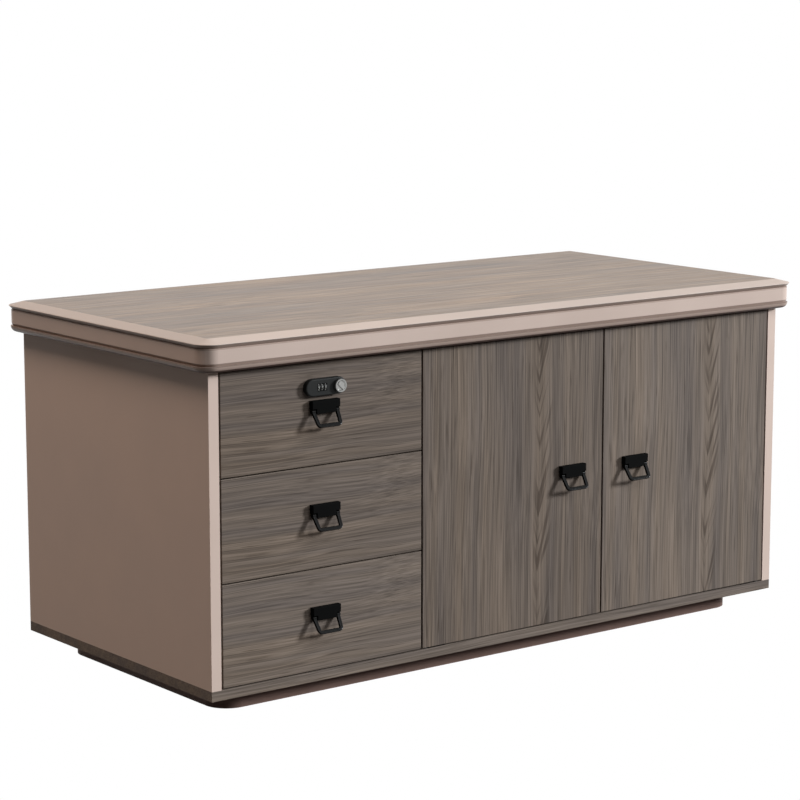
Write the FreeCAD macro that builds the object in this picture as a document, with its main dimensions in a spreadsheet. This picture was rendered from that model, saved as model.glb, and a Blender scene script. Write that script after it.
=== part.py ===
import FreeCAD, Part
import math
import os
import re

import Sketcher

# Low office cabinet: three drawers on the left, two doors on the right, a moulded trim round the top and a
# recessed plinth. Millimetres, +Z up, front towards -Y, origin on the floor under the middle of the cabinet.

doc = FreeCAD.newDocument("LowCabinet")

# Driving dimensions, one cell each
SIZES = {
    # carcass boards
    "body_width": 1200, "body_depth": 550, "opening_height": 494,
    "panel_thickness": 18, "base_thickness": 16, "rail_thickness": 25, "rail_width": 80,
    "top_thickness": 25, "back_thickness": 9, "back_inset": 3,
    # plinth
    "plinth_height": 33, "plinth_recess": 46, "plinth_thickness": 16, "plinth_corner": 40,
    # trim round the top: a sloping brow, a flat fascia and a bead
    "trim_overhang": 25, "trim_corner": 30, "trim_lap": 26, "brow_fall": 6, "brow_nose": 1,
    "throat_height": 6.2, "throat_depth": 6, "fascia_recess": 4, "fascia_ease": 0.8, "fascia_height": 22,
    "quirk_height": 4.5, "quirk_depth": 2.5, "bead_radius": 10, "bead_recess": 2.5,
    # drawer fronts and doors
    "front_thickness": 18, "front_back_gap": 4, "side_gap": 3, "row_gap": 2, "top_gap": 4, "front_round": 0.8,
    # drawer boxes
    "box_board": 12, "box_height": 118, "box_lift": 16, "box_length": 460, "box_back_drop": 12,
    "bottom_thickness": 5, "groove_depth": 6, "groove_lift": 10,
    # ball slides: three nested channels
    "slide_thickness": 12.7, "slide_length": 450, "slide_height": 45, "slide_sheet": 1.2, "slide_play": 0.5,
    "slide_set_back": 3, "slide_lip": 9, "slide_step": 3, "slide_inner_reach": 7.5,
    # handles: a block with a trapezoid bail hung on a pin
    "handle_width": 53, "handle_height": 20.5, "handle_depth": 9, "handle_drop": 69.5, "handle_offset": -1,
    "handle_edge": 69, "handle_round": 1, "bail_notch_width": 8, "bail_notch_height": 7.6, "bail_pin": 3,
    "bail_pin_lift": 3.8, "bail_eye": 7, "bail_bar": 6, "bail_thickness": 5, "bail_length": 25,
    "bail_foot_width": 48, "bail_corner": 8, "bail_play": 0.4, "bail_cant": 32, "bail_round": 1.2,
    "bail_heel": 2, "bail_side_play": 0.6,
    # dial lock on the top drawer
    "lock_length": 76, "lock_height": 27, "lock_depth": 9, "lock_drop": 38.5, "lock_round": 2,
    "lock_wall": 1.5, "lock_barrel": 18, "lock_barrel_tail": 5, "lock_play": 0.3,
    "lock_case_width": 26, "lock_case_height": 19, "lock_case_depth": 7,
    "wheel_radius": 7.5, "wheel_width": 5, "wheel_pitch": 6.4, "wheel_offset": -8, "wheel_proud": 0.8,
    "wheel_chamfer": 0.5, "wheel_axle": 2.4, "window_height": 12,
    "knob_diameter": 21, "knob_height": 6, "knob_rib": 5, "knob_rib_length": 14, "knob_shaft": 8,
    "knob_dish": 1.6, "knob_rim": 2, "knob_edge": 0.8, "knob_tilt": 45,
    "cam_length": 52, "cam_width": 12, "cam_thickness": 3, "cam_mortise_height": 16, "cam_mortise_margin": 4,
    # shelf behind the doors
    "shelf_height": 240, "shelf_set_back": 20, "shelf_end_gap": 1.5, "shelf_pin": 5, "shelf_pin_length": 20,
    "shelf_pin_seat": 10, "shelf_pin_inset": 60, "shelf_collar": 9, "shelf_collar_thickness": 1.2,
    "pin_hole_pitch": 32,
    # concealed pivot hinges at the doors' top and bottom corners
    "pivot_inset": 9, "pivot_depth": 6, "pivot_pin": 5, "pivot_play": 0.2, "pivot_reach": 5,
    "pivot_shoulder": 8.5, "leaf_length": 45, "leaf_width": 9, "leaf_thickness": 2.5, "leaf_heel": 4.5,
    # magnetic catches
    "catch_length": 46, "catch_height": 16, "catch_depth": 14, "catch_edge": 30, "catch_slot": 3,
    "strike_length": 38, "strike_height": 12, "strike_thickness": 1.5, "strike_drop": 3, "strike_gap": 0.4,
    # cutting tools run past the faces that they cut
    "overrun": 1,
}

# Places worked out from the driving dimensions
PLACES = {
    "half_width": "body_width / 2",
    "half_depth": "body_depth / 2",
    "floor_level": "plinth_height + base_thickness",
    "rail_level": "floor_level + opening_height",
    "top_level": "rail_level + rail_thickness",
    "overall_height": "top_level + top_thickness",
    "inner_half": "half_width - panel_thickness",
    "inner_front": "front_thickness + front_back_gap - half_depth",
    "inner_back": "half_depth - back_inset - back_thickness",
    "fronts_back": "front_thickness - half_depth",
    "front_width": "(2 * inner_half - 4 * side_gap) / 3",
    "front_height": "(opening_height - top_gap - 3 * row_gap) / 3",
    "front_pitch": "front_height + row_gap",
    "front_level": "floor_level + row_gap",
    "door_height": "3 * front_height + 2 * row_gap",
    "drawer_left": "side_gap - inner_half",
    "left_door_left": "drawer_left + front_width + side_gap",
    "right_door_left": "left_door_left + front_width + side_gap",
    "divider_left": "left_door_left - side_gap / 2 - panel_thickness / 2",
    "divider_right": "divider_left + panel_thickness",
    "box_left": "slide_thickness - inner_half",
    "box_right": "divider_left - slide_thickness",
    "slide_front": "inner_front + slide_set_back",
    "handle_middle": "drawer_left + front_width / 2 + handle_offset",
    "lock_axis": "handle_middle + lock_length / 2 - lock_height / 2",
    "lock_level": "front_level + 2 * front_pitch + front_height - lock_drop",
    "wheel_axis": "lock_depth + wheel_proud - wheel_radius",
    "cam_front": "fronts_back + lock_barrel_tail",
    "cam_swing": "sqrt(cam_length ^ 2 - (rail_level - lock_level) ^ 2)",
    "shelf_level": "floor_level + shelf_height",
    "pivot_y": "pivot_depth - half_depth",
    "left_pivot": "left_door_left + pivot_inset",
    "right_pivot": "right_door_left + front_width - pivot_inset",
}
WORD = re.compile(r"[a-z][a-z0-9_]*")


def tied(formula):
    """Point every size and place that a formula names at its cell."""
    def cell(match):
        word = match.group()
        if word in SIZES:
            return f"Sizes.{word}"
        return f"Places.{word}" if word in PLACES else word
    return WORD.sub(cell, formula)


def fill_sheet(name, cells):
    sheet = doc.addObject("Spreadsheet::Sheet", name)
    for row, (alias, content) in enumerate(cells.items(), start=1):
        sheet.set(f"A{row}", alias)
        sheet.set(f"B{row}", content)
        sheet.setAlias(f"B{row}", alias)
    doc.recompute()
    return sheet


sizes = fill_sheet("Sizes", {alias: str(number) for alias, number in SIZES.items()})
places = fill_sheet("Places", {alias: "=" + tied(formula) for alias, formula in PLACES.items()})


def measure(formula):
    """The number that a formula gives now."""
    result = places.evalExpression(tied(formula))
    return float(getattr(result, "Value", result))


def bind(item, **formulas):
    for name, formula in formulas.items():
        item.setExpression(name, tied(formula))
    return item


def place(item, x, y, z):
    for axis, formula in zip("xyz", (x, y, z)):
        item.setExpression(f"Placement.Base.{axis}", tied(formula))
    return item


def box(name, x, y, z, length, width, height):
    return place(bind(doc.addObject("Part::Box", name), Length=length, Width=width, Height=height), x, y, z)


TURNS = {
    "x": FreeCAD.Rotation(FreeCAD.Vector(0, 1, 0), 90),
    "y": FreeCAD.Rotation(FreeCAD.Vector(1, 0, 0), -90),
    "z": FreeCAD.Rotation(),
}


def rod(name, axis, x, y, z, radius, height):
    """A cylinder that starts at x, y, z and runs along +axis."""
    item = bind(doc.addObject("Part::Cylinder", name), Radius=radius, Height=height)
    item.Placement = FreeCAD.Placement(FreeCAD.Vector(), TURNS[axis])
    return place(item, x, y, z)


def fuse(name, *items):
    item = doc.addObject("Part::MultiFuse", name)
    item.Shapes = list(items)
    return item


def group(name, *items):
    item = doc.addObject("Part::Compound", name)
    item.Links = list(items)
    return item


def cut(name, base, *tools):
    item = doc.addObject("Part::Cut", name)
    item.Base = base
    item.Tool = tools[0] if len(tools) == 1 else fuse(name + "_tools", *tools)
    return item


def common(name, base, tool):
    item = doc.addObject("Part::Common", name)
    item.Base = base
    item.Tool = tool
    return item


def new_body(name):
    body = doc.addObject("PartDesign::Body", name)
    body.AllowCompound = True
    return body


def round_arc(start, end, radius, turn):
    """The shorter arc from start to end; turn is 1 when it runs counter-clockwise and -1 when clockwise."""
    chord = end - start
    across = FreeCAD.Vector(-chord.y, chord.x, 0).normalize()
    rise = max(radius ** 2 - (chord.Length / 2) ** 2, 0) ** 0.5
    centre = (start + end) / 2 + across * rise * turn
    first, last = (start, end) if turn > 0 else (end, start)
    circle = Part.Circle(centre, FreeCAD.Vector(0, 0, 1), radius)
    return Part.ArcOfCircle(circle, circle.parameter(first), circle.parameter(last))


def hold_point(sketch, geometry, end, x, y):
    """Fix one end of a line or arc at x, y from the sketch's origin."""
    for kind, formula, axis in (("DistanceX", x, -2), ("DistanceY", y, -1)):
        if formula == "0":
            sketch.addConstraint(Sketcher.Constraint("PointOnObject", geometry, end, axis))
        else:
            number = measure(formula)
            index = sketch.addConstraint(Sketcher.Constraint(kind, -1, 1, geometry, end, number))
            sketch.setExpression(f"Constraints[{index}]", tied(formula))


def hold_radius(sketch, geometry, radius):
    index = sketch.addConstraint(Sketcher.Constraint("Radius", geometry, measure(radius)))
    sketch.setExpression(f"Constraints[{index}]", tied(radius))


def draw_outline(sketch, steps, closed=True):
    """Each step ends a line at (x, y), or an arc at (x, y, radius, turn)."""
    ends = [FreeCAD.Vector(measure(step[0]), measure(step[1]), 0) for step in steps]
    previous = None
    for number, step in enumerate(steps):
        if number == 0 and not closed:
            continue
        straight = len(step) == 2
        start, end = ends[number - 1], ends[number]
        shape = Part.LineSegment(start, end) if straight else round_arc(start, end, measure(step[2]), step[3])
        geometry = sketch.addGeometry(shape)
        enter, leave = (1, 2) if straight or step[3] > 0 else (2, 1)
        if previous is None:
            first = (geometry, enter)
            if not closed:
                hold_point(sketch, geometry, enter, *steps[0])
        else:
            sketch.addConstraint(Sketcher.Constraint("Coincident", *previous, geometry, enter))
        hold_point(sketch, geometry, leave, step[0], step[1])
        if not straight:
            hold_radius(sketch, geometry, step[2])
        previous = (geometry, leave)
    if closed:
        sketch.addConstraint(Sketcher.Constraint("Coincident", *previous, *first))


def new_sketch(body, role, *outlines, closed=True):
    sketch = body.newObject("Sketcher::SketchObject", body.Name + "_sketch")
    flat = next(feature for feature in body.Origin.OriginFeatures if feature.Role == role)
    sketch.AttachmentSupport = [(flat, "")]
    sketch.MapMode = "FlatFace"
    for outline in outlines:
        draw_outline(sketch, outline, closed)
    return sketch


def pad(body, sketch, length, backwards=False, both_ways=False):
    feature = body.newObject("PartDesign::Pad", body.Name + "_pad")
    feature.Profile = sketch
    feature.Reversed = backwards
    feature.Midplane = both_ways
    bind(feature, Length=length)
    return feature


def revolve(body, sketch, axis):
    feature = body.newObject("PartDesign::Revolution", body.Name + "_turned")
    feature.Profile = sketch
    feature.ReferenceAxis = (sketch, [axis])
    feature.Angle = 360
    return feature


def round_edges(body, feature, radius, *levels):
    """Fillet the edges of a feature that lie at these levels along its own Y axis."""
    doc.recompute()

    def chosen(edge):
        ends = [vertex.Y for vertex in edge.Vertexes]
        return any(all(math.isclose(end, level, rel_tol=1e-6) for end in ends) for level in levels)
    names = [f"Edge{index}" for index, edge in enumerate(feature.Shape.Edges, start=1) if chosen(edge)]
    fillet = body.newObject("PartDesign::Fillet", body.Name + "_rounds")
    fillet.Base = (feature, names)
    bind(fillet, Radius=radius)
    return fillet


def front_board(name, left, level, height):
    """A drawer front or door: a board whose visible edges are eased."""
    body = new_body(name)
    board = pad(body, new_sketch(body, "XZ_Plane", [
        ("0", "0"), ("front_width", "0"), ("front_width", height), ("0", height)]), "front_thickness")
    round_edges(body, board, "front_round", -measure("front_thickness"))
    return place(body, left, "fronts_back", level)


def rounded_rectangle(half_x, half_y, radius):
    """A rectangle about the origin with round corners, drawn counter-clockwise along its front first."""
    x, y = f"({half_x})", f"({half_y})"
    return [(f"{x} - ({radius})", f"-{y}"), (x, f"{radius} - {y}", radius, 1),
            (x, f"{y} - ({radius})"), (f"{x} - ({radius})", y, radius, 1),
            (f"{radius} - {x}", y), (f"-{x}", f"{y} - ({radius})", radius, 1),
            (f"-{x}", f"{radius} - {y}"), (f"{radius} - {x}", f"-{y}", radius, 1)]


pieces = []


def keep(item, name):
    """Name a finished sub-part; the name is also its file's name."""
    item.Label = name
    pieces.append(item)
    return item


# Plinth: a skirt with round corners, in a front and a back length with the corners, and two straight ends
plinth_x = "half_width - plinth_recess"
plinth_y = "half_depth - plinth_recess"
skirt = new_body("plinth_skirt")
pad(skirt, new_sketch(
    skirt, "XY_Plane",
    rounded_rectangle(plinth_x, plinth_y, "plinth_corner"),
    rounded_rectangle(f"{plinth_x} - plinth_thickness", f"{plinth_y} - plinth_thickness",
                      "plinth_corner - plinth_thickness")), "plinth_height")
front_reach = box("plinth_front_reach", "-half_width", "-half_depth", "0",
                  "body_width", "plinth_recess + plinth_corner", "plinth_height")
back_reach = box("plinth_back_reach", "-half_width", "half_depth - plinth_recess - plinth_corner", "0",
                 "body_width", "plinth_recess + plinth_corner", "plinth_height")
keep(common("plinth_front_length", skirt, front_reach), "plinth_front")
keep(common("plinth_back_length", skirt, back_reach), "plinth_back")
keep(cut("plinth_end_lengths", skirt, front_reach, back_reach), "plinth_ends")

# Leaves of the pivot hinges: each door has one at its top and bottom, and the carcass has their partners
DOORS = {"left": ("left_door_left", "left_pivot", 1), "right": ("right_door_left", "right_pivot", -1)}


def leaf_start(pivot, side):
    """A leaf runs from its heel past the pivot towards the middle of its door."""
    return f"{pivot} - leaf_heel" if side > 0 else f"{pivot} + leaf_heel - leaf_length"


def leaf_box(name, pivot, side, level):
    return box(name, leaf_start(pivot, side), "pivot_y - leaf_width / 2", level,
               "leaf_length", "leaf_width", "leaf_thickness")


# Base panel: full footprint, with the lower leaves let into its top face
base_board = box("base_board", "-half_width", "-half_depth", "plinth_height",
                 "body_width", "body_depth", "base_thickness")
keep(cut("base_board_cut", base_board, *[
    leaf_box(f"base_recess_{side}", pivot, turn, "floor_level - leaf_thickness")
    for side, (_, pivot, turn) in DOORS.items()]), "base_panel")

# Shelf pins: a row of holes in the divider and in the right side panel, front and back, and four pins in use
PIN_ROWS = {"front": "inner_front + shelf_pin_inset", "back": "inner_back - shelf_pin_inset"}
PIN_HOLES = range(-2, 3)
pin_level = "shelf_level - shelf_pin / 2"


def pin_holes(name, start):
    """The holes of one panel, from start along +X for the depth of a seat."""
    return [rod(f"{name}_{row}_{step + 2}", "x", start, y, f"{pin_level} + {step} * pin_hole_pitch",
                "shelf_pin / 2", "shelf_pin_seat")
            for row, y in PIN_ROWS.items() for step in PIN_HOLES]


# Side panels and divider stand on the base; the divider is notched round the two top rails
side_size = ("panel_thickness", "body_depth", "top_level - floor_level")
keep(box("left_side", "-half_width", "-half_depth", "floor_level", *side_size), "left_side_panel")
right_board = box("right_side", "inner_half", "-half_depth", "floor_level", *side_size)
keep(cut("right_side_cut", right_board, *pin_holes("right_hole", "inner_half")), "right_side_panel")

divider = new_body("divider_board")
pad(divider, new_sketch(divider, "YZ_Plane", [
    ("inner_front", "floor_level"), ("inner_back", "floor_level"),
    ("inner_back", "rail_level"), ("inner_back - rail_width", "rail_level"),
    ("inner_back - rail_width", "top_level"), ("rail_width - half_depth", "top_level"),
    ("rail_width - half_depth", "rail_level"), ("inner_front", "rail_level")]), "panel_thickness")
place(divider, "divider_left", "0", "0")
divider_holes = pin_holes("divider_hole", "divider_right - shelf_pin_seat")
keep(cut("divider_cut", divider, *divider_holes), "divider_panel")

keep(box("back_board", "-inner_half", "inner_back", "floor_level",
         "2 * inner_half", "back_thickness", "top_level - floor_level"), "back_panel")

# Top rails: the front one is in two lengths that meet over the divider. The right one takes the doors' upper
# leaves. The left one is glued up from five strips, which leave a mortise as wide as the swing of the lock's cam.
rail_joint = "(divider_left + divider_right) / 2"
rail_back = "rail_width - half_depth"
mortise_left = "lock_axis - cam_width / 2 - cam_mortise_margin"
mortise_right = "lock_axis + cam_swing + cam_mortise_margin"
mortise_front = "cam_front - cam_mortise_margin"
mortise_back = "cam_front + cam_thickness + cam_mortise_margin"
mortise_top = "rail_level + cam_mortise_height"
RAIL_STRIPS = {
    "front": ("-inner_half", rail_joint, "-half_depth", mortise_front, "rail_level"),
    "back": ("-inner_half", rail_joint, mortise_back, rail_back, "rail_level"),
    "left": ("-inner_half", mortise_left, mortise_front, mortise_back, "rail_level"),
    "right": (mortise_right, rail_joint, mortise_front, mortise_back, "rail_level"),
    "cover": (mortise_left, mortise_right, mortise_front, mortise_back, mortise_top),
}
strips = [box(f"rail_{name}_strip", x, y, z, f"{far_x} - ({x})", f"{far_y} - ({y})", f"top_level - ({z})")
          for name, (x, far_x, y, far_y, z) in RAIL_STRIPS.items()]
right_length = box("front_rail_right", rail_joint, "-half_depth", "rail_level",
                   f"inner_half - {rail_joint}", "rail_width", "rail_thickness")
keep(group("front_rail_lengths", *strips, cut("front_rail_recessed", right_length, *[
    leaf_box(f"rail_recess_{side}", pivot, turn, "rail_level")
    for side, (_, pivot, turn) in DOORS.items()])), "front_top_rail")
keep(box("back_rail", "-inner_half", "inner_back - rail_width", "rail_level",
         "2 * inner_half", "rail_width", "rail_thickness"), "back_top_rail")

# Top panel: its round corners are concentric with the trim's
top = new_body("top_board")
corner = "trim_corner - trim_overhang"
pad(top, new_sketch(top, "XY_Plane", rounded_rectangle("half_width", "half_depth", corner)), "top_thickness")
keep(place(top, "0", "0", "top_level"), "top_panel")

# Trim: one moulding run round the top and mitred into four lengths. Its section, from the wood outwards and
# down: a sloping brow with a round nose, a throat cut back under it, a flat fascia with an eased top edge, a
# quirk, a flat-topped quarter-round bead and an underside that runs in to the body.
brow_z = "overall_height - brow_fall"
throat_z = f"{brow_z} - brow_nose - throat_height"
fascia_top = f"{throat_z} - fascia_ease"
fascia_foot = f"{fascia_top} - fascia_height"
bead_top = f"{fascia_foot} - quirk_height"
out = "-half_depth - trim_overhang"
section = [
    ("-half_depth", "overall_height"),
    (f"{out} + brow_nose", brow_z),
    (out, f"{brow_z} - brow_nose", "brow_nose", 1),
    (f"{out} + throat_depth", throat_z),
    (f"{out} + fascia_recess + fascia_ease", throat_z),
    (f"{out} + fascia_recess", fascia_top, "fascia_ease", 1),
    (f"{out} + fascia_recess", fascia_foot),
    (f"{out} + fascia_recess + quirk_depth", bead_top),
    (f"{out} + bead_recess", bead_top),
    (f"{out} + bead_recess + bead_radius", f"{bead_top} - bead_radius", "bead_radius", 1),
    ("-half_depth", "top_level - trim_lap"),
]
trim = new_body("trim_run")
route = new_sketch(
    trim, "XY_Plane", [("0", "-half_depth")] + rounded_rectangle("half_width", "half_depth", corner))
profile = new_sketch(trim, "YZ_Plane", section)
run = trim.newObject("PartDesign::AdditivePipe", "trim_sweep")
run.Profile = profile
run.Spine = (route, [f"Edge{number + 1}" for number in range(route.GeometryCount)])
run.Mode = "Standard"
carcass_block = box("carcass_block", "-half_width", "-half_depth", "floor_level",
                    "body_width", "body_depth", "top_level - floor_level")
trim_ring = cut("trim_fitted", trim, carcass_block)
far_x, far_y = "half_width + trim_overhang + overrun", "half_depth + trim_overhang + overrun"
ridge = "half_width - half_depth"
SECTORS = {
    "front": [(f"-({far_x})", f"-({far_y})"), (far_x, f"-({far_y})"), (ridge, "0"), (f"-({ridge})", "0")],
    "back": [(f"-({ridge})", "0"), (ridge, "0"), (far_x, far_y), (f"-({far_x})", far_y)],
    "left": [(f"-({far_x})", f"-({far_y})"), (f"-({ridge})", "0"), (f"-({far_x})", far_y)],
    "right": [(far_x, f"-({far_y})"), (far_x, far_y), (ridge, "0")],
}
for side, corners in SECTORS.items():
    sector = new_body(f"{side}_mitre_sector")
    pad(sector, new_sketch(sector, "XY_Plane", corners), "overall_height")
    keep(common(f"{side}_trim_length", trim_ring, sector), f"top_trim_{side}")

# Shelf on four pins
keep(box("shelf_board", "divider_right + shelf_end_gap", "inner_front + shelf_set_back", "shelf_level",
         "inner_half - divider_right - 2 * shelf_end_gap", "inner_back - inner_front - shelf_set_back",
         "panel_thickness"), "shelf")
pins = []
for row, y in PIN_ROWS.items():
    for end, start, collar in (
            ("left", "divider_right - shelf_pin_seat", "divider_right"),
            ("right", "inner_half + shelf_pin_seat - shelf_pin_length",
             "inner_half - shelf_collar_thickness")):
        pins.append(fuse(
            f"shelf_pin_{row}_{end}",
            rod(f"pin_{row}_{end}", "x", start, y, pin_level, "shelf_pin / 2", "shelf_pin_length"),
            rod(f"collar_{row}_{end}", "x", collar, y, pin_level,
                "shelf_collar / 2", "shelf_collar_thickness")))
keep(group("shelf_pin_set", *pins), "shelf_pins")

# Ball slides: three nested channels on each side of a drawer, measured across from the carcass face
CHANNELS = {
    "outer": ("0", "slide_sheet", "slide_lip", "slide_height / 2"),
    "middle": ("slide_step", "slide_step + slide_sheet", "slide_lip + slide_sheet",
               "slide_height / 2 - slide_sheet - slide_play"),
    "inner": ("slide_thickness", "slide_thickness - slide_sheet", "slide_thickness - slide_inner_reach",
              "slide_height / 2 - 2 * slide_sheet - 2 * slide_play"),
}
ROWS = {"bottom": 0, "middle": 1, "top": 2}


def row_level(row):
    return f"front_level + {ROWS[row]} * front_pitch"


def slide_level(row):
    return f"{row_level(row)} + box_lift + box_height / 2"


def channel(kind, row, face, sign):
    """Outline of one channel, open towards its partner, in the XZ plane."""
    web, inside, lip, half = CHANNELS[kind]
    middle = slide_level(row)

    def point(across, height):
        return f"{face} {sign} ({across})", f"{middle} {height}"
    low, high = f"- ({half})", f"+ ({half})"
    low_in, high_in = f"- ({half} - slide_sheet)", f"+ ({half} - slide_sheet)"
    return [point(web, low), point(lip, low), point(lip, low_in), point(inside, low_in),
            point(inside, high_in), point(lip, high_in), point(lip, high), point(web, high)]


def channels(name, kind, rows):
    body = new_body(name)
    outlines = [channel(kind, row, face, sign)
                for row in rows for face, sign in (("-inner_half", "+"), ("divider_left", "-"))]
    pad(body, new_sketch(body, "XZ_Plane", *outlines), "slide_length", backwards=True)
    return place(body, "0", "slide_front", "0")


keep(channels("outer_channels", "outer", ROWS), "slide_outer_rails")


# Handle: a block whose lower corners are notched for the eyes of the bail, with a pin right through
def handle(name, middle, level):
    """Middle of the block along X, and the level of its middle."""
    block = new_body(f"{name}_block")
    half, low, high = "handle_width / 2", "-handle_height / 2", "handle_height / 2"
    notch_x, notch_z = f"{half} - bail_notch_width", f"{low} + bail_notch_height"
    raised = pad(block, new_sketch(block, "XZ_Plane", [
        (f"-({notch_x})", low), (notch_x, low), (notch_x, notch_z), (half, notch_z), (half, high),
        (f"-{half}", high), (f"-{half}", notch_z), (f"-({notch_x})", notch_z)]), "handle_depth")
    round_edges(block, raised, "handle_round", -measure("handle_depth"))
    pin = rod(f"{name}_pin", "x", f"-{half}", "-handle_depth / 2", f"{low} + bail_pin_lift",
              "bail_pin / 2", "handle_width")
    keep(place(fuse(f"{name}_handle", block, pin), middle, "-half_depth", level), f"{name}_handle_block")
    bail(name, middle, level)


def bail(name, middle, level):
    """A flat trapezoid loop about its pin, canted away from the front, with an eye and a heel at each end.

    The heels meet the roofs of the block's notches and stop the loop from falling back.
    """
    outer_x = "handle_width / 2 - bail_side_play"
    inner_x = f"{outer_x} - bail_bar"
    foot_x = "bail_foot_width / 2"
    foot_z = "bail_length + bail_bar / 2"
    loop = new_body(f"{name}_loop")
    flat = pad(loop, new_sketch(loop, "XZ_Plane", [
        (f"-({outer_x})", "0"), (f"-({foot_x})", f"bail_corner - ({foot_z})"),
        (f"bail_corner - {foot_x}", f"-({foot_z})", "bail_corner", 1),
        (f"{foot_x} - bail_corner", f"-({foot_z})"), (foot_x, f"bail_corner - ({foot_z})", "bail_corner", 1),
        (outer_x, "0"), (inner_x, "0"), (f"{foot_x} - bail_bar", "bail_bar / 2 - bail_length"),
        (f"bail_bar - {foot_x}", "bail_bar / 2 - bail_length"), (f"-({inner_x})", "0")]),
        "bail_thickness", both_ways=True)
    half = measure("bail_thickness / 2")
    round_edges(loop, flat, "bail_round", -half, half)
    ends = {"left": f"-({outer_x})", "right": inner_x}
    eyes = [rod(f"{name}_eye_{side}", "x", start, "0", "0", "bail_eye / 2", "bail_bar")
            for side, start in ends.items()]
    heels = [box(f"{name}_heel_{side}", start, "0", "0",
                 "bail_bar", "bail_heel", "bail_notch_height - bail_pin_lift")
             for side, start in ends.items()]
    bore = rod(f"{name}_bore", "x", "-handle_width / 2", "0", "0",
               "bail_pin / 2 + bail_play / 2", "handle_width")
    canted = fuse(f"{name}_bail_loop", loop, *eyes)
    canted.Placement = FreeCAD.Placement(
        FreeCAD.Vector(), FreeCAD.Rotation(FreeCAD.Vector(1, 0, 0), -measure("bail_cant")))
    item = cut(f"{name}_bail_ring", fuse(f"{name}_bail_form", canted, *heels), bore)
    keep(place(item, middle, "-half_depth - handle_depth / 2",
               f"{level} - handle_height / 2 + bail_pin_lift"), f"{name}_bail")


# Dial lock: a stadium body on the top drawer's front, a case let into the front, three wheels and a knob
wheel_x = [f"handle_middle + wheel_offset + {step} * wheel_pitch" for step in (-1, 0, 1)]
case_x = "handle_middle + wheel_offset - lock_case_width / 2"
barrel_hole = rod("barrel_hole", "y", "lock_axis", "-half_depth - overrun", "lock_level",
                  "lock_barrel / 2", "front_thickness + 2 * overrun")
case_recess = box("case_recess", case_x, "-half_depth - overrun", "lock_level - lock_case_height / 2",
                  "lock_case_width", "lock_case_depth + overrun", "lock_case_height")


def make_lock():
    body = new_body("lock_shell")
    run_x, radius = "(lock_length - lock_height) / 2", "lock_height / 2"
    shell = pad(body, new_sketch(body, "XZ_Plane", [
        (f"-{run_x}", f"-{radius}", radius, 1), (run_x, f"-{radius}"),
        (f"{run_x} + {radius}", "0", radius, 1), (run_x, radius, radius, 1),
        (f"-{run_x}", radius), (f"-{run_x} - {radius}", "0", radius, 1)]), "lock_depth")
    round_edges(body, shell, "lock_round", -measure("lock_depth"))
    place(body, "handle_middle", "-half_depth", "lock_level")
    case = box("lock_case", case_x, "-half_depth", "lock_level - lock_case_height / 2",
               "lock_case_width", "lock_case_depth", "lock_case_height")
    barrel = rod("lock_barrel", "y", "lock_axis", "-half_depth", "lock_level",
                 "lock_barrel / 2", "front_thickness + lock_barrel_tail - lock_play")
    cavity = box("wheel_cavity", f"{case_x} + lock_wall", "lock_wall - half_depth - lock_depth",
                 "lock_level - lock_case_height / 2 + lock_wall", "lock_case_width - 2 * lock_wall",
                 "lock_depth + lock_case_depth - 2 * lock_wall", "lock_case_height - 2 * lock_wall")
    windows = [box(f"wheel_window_{number}", f"{x} - wheel_width / 2 - lock_play",
                   "-half_depth - lock_depth - overrun", "lock_level - window_height / 2",
                   "wheel_width + 2 * lock_play", "lock_wall + 2 * overrun", "window_height")
               for number, x in enumerate(wheel_x, start=1)]
    shaft_bore = rod("knob_bore", "y", "lock_axis", "-half_depth - lock_depth - overrun", "lock_level",
                     "knob_shaft / 2 + lock_play",
                     "lock_depth + front_thickness + lock_barrel_tail + 2 * overrun")
    hollow = cut("lock_hollow", fuse("lock_form", body, case, barrel), cavity, shaft_bore, *windows)
    axle = rod("lock_wheel_axle", "x", case_x, "-half_depth - wheel_axis", "lock_level",
               "wheel_axle / 2", "lock_case_width")
    keep(fuse("lock_with_axle", hollow, axle), "lock_body")


def make_wheels():
    """Number wheels that turn on the lock's axle, each with a chamfered rim."""
    for number, x in enumerate(wheel_x, start=1):
        disc = new_body(f"wheel_disc_{number}")
        rim, half, edge = "wheel_radius", "wheel_width / 2", "wheel_chamfer"
        hub = "wheel_axle / 2 + lock_play / 2"
        revolve(disc, new_sketch(disc, "XY_Plane", [
            (f"-{half}", hub), (half, hub), (half, f"{rim} - {edge}"), (f"{half} - {edge}", rim),
            (f"{edge} - {half}", rim), (f"-{half}", f"{rim} - {edge}")]), "H_Axis")
        keep(place(disc, x, "-half_depth - wheel_axis", "lock_level"), f"lock_wheel_{number}")


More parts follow.
